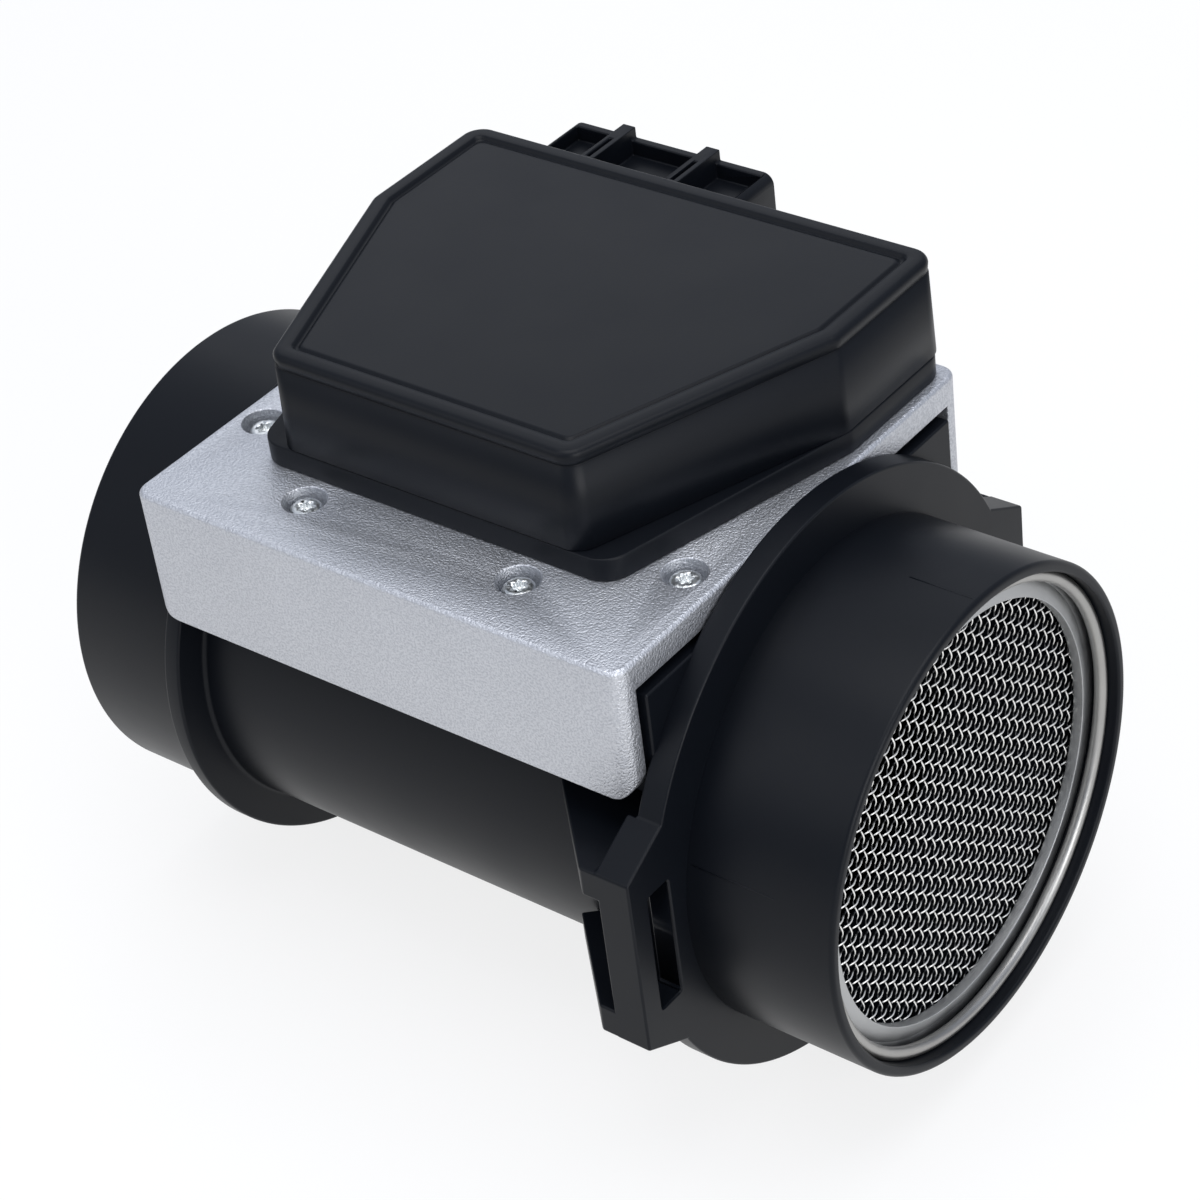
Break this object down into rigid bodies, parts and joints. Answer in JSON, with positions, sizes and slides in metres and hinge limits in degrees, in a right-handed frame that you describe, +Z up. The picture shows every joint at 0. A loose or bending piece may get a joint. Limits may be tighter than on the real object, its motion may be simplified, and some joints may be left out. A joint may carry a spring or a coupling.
{
  "type": "mass airflow sensor",
  "caption": "Moulded intake duct with round sleeves, mesh screens and clip ears, under a cast heat sink with a sealed electronics box and plug socket.",
  "frame": {"origin": "on the duct's axis, in the plane of the inlet flange's outer face", "axes": "+X along the duct to the inlet mouth beside the clip ears, +Y to the plug socket, +Z up to the electronics box"},
  "size_m": [0.156, 0.1171, 0.1192],
  "materials": {
    "moulded_black": "fine satin moulding",
    "cast_aluminium": "fine shot-blasted casting",
    "zinc_steel": "zinc plated",
    "seal_rubber": "matte",
    "tinned_blade": "tin plated",
    "ceramic_board": "fired, unglazed",
    "chip_black": "moulded package",
    "capacitor_tan": "unglazed",
    "hot_wire_metal": "drawn platinum",
    "pressed_steel": "satin",
    "mesh_steel": "drawn wire",
    "spring_wire": "drawn wire"
  },
  "bodies": {
    "root": {"duct_housing": "moulded_black", "heat_sink": "cast_aluminium", "heat_sink_screws": "zinc_steel", "heat_sink_gasket": "seal_rubber", "electronics_frame": "moulded_black", "electronics_cover": "moulded_black", "frame_seal": "seal_rubber", "connector_pins": "tinned_blade", "pin_links": "tinned_blade", "circuit_board": "ceramic_board", "control_chip": "chip_black", "power_transistor": "chip_black", "capacitors": "capacitor_tan", "chip_resistors": "chip_black", "lead_carrier": "moulded_black", "sensor_leads": "tinned_blade", "sensor_ring": "moulded_black", "wire_hooks": "tinned_blade", "hot_wire": "hot_wire_metal", "temperature_sensor": "ceramic_board", "precision_resistor": "ceramic_board", "inlet_screen_frame": "pressed_steel", "outlet_screen_frame": "pressed_steel", "inlet_screen": "mesh_steel", "outlet_screen": "mesh_steel", "inlet_retaining_ring": "spring_wire", "outlet_retaining_ring": "spring_wire"}
  },
  "joints": []
}
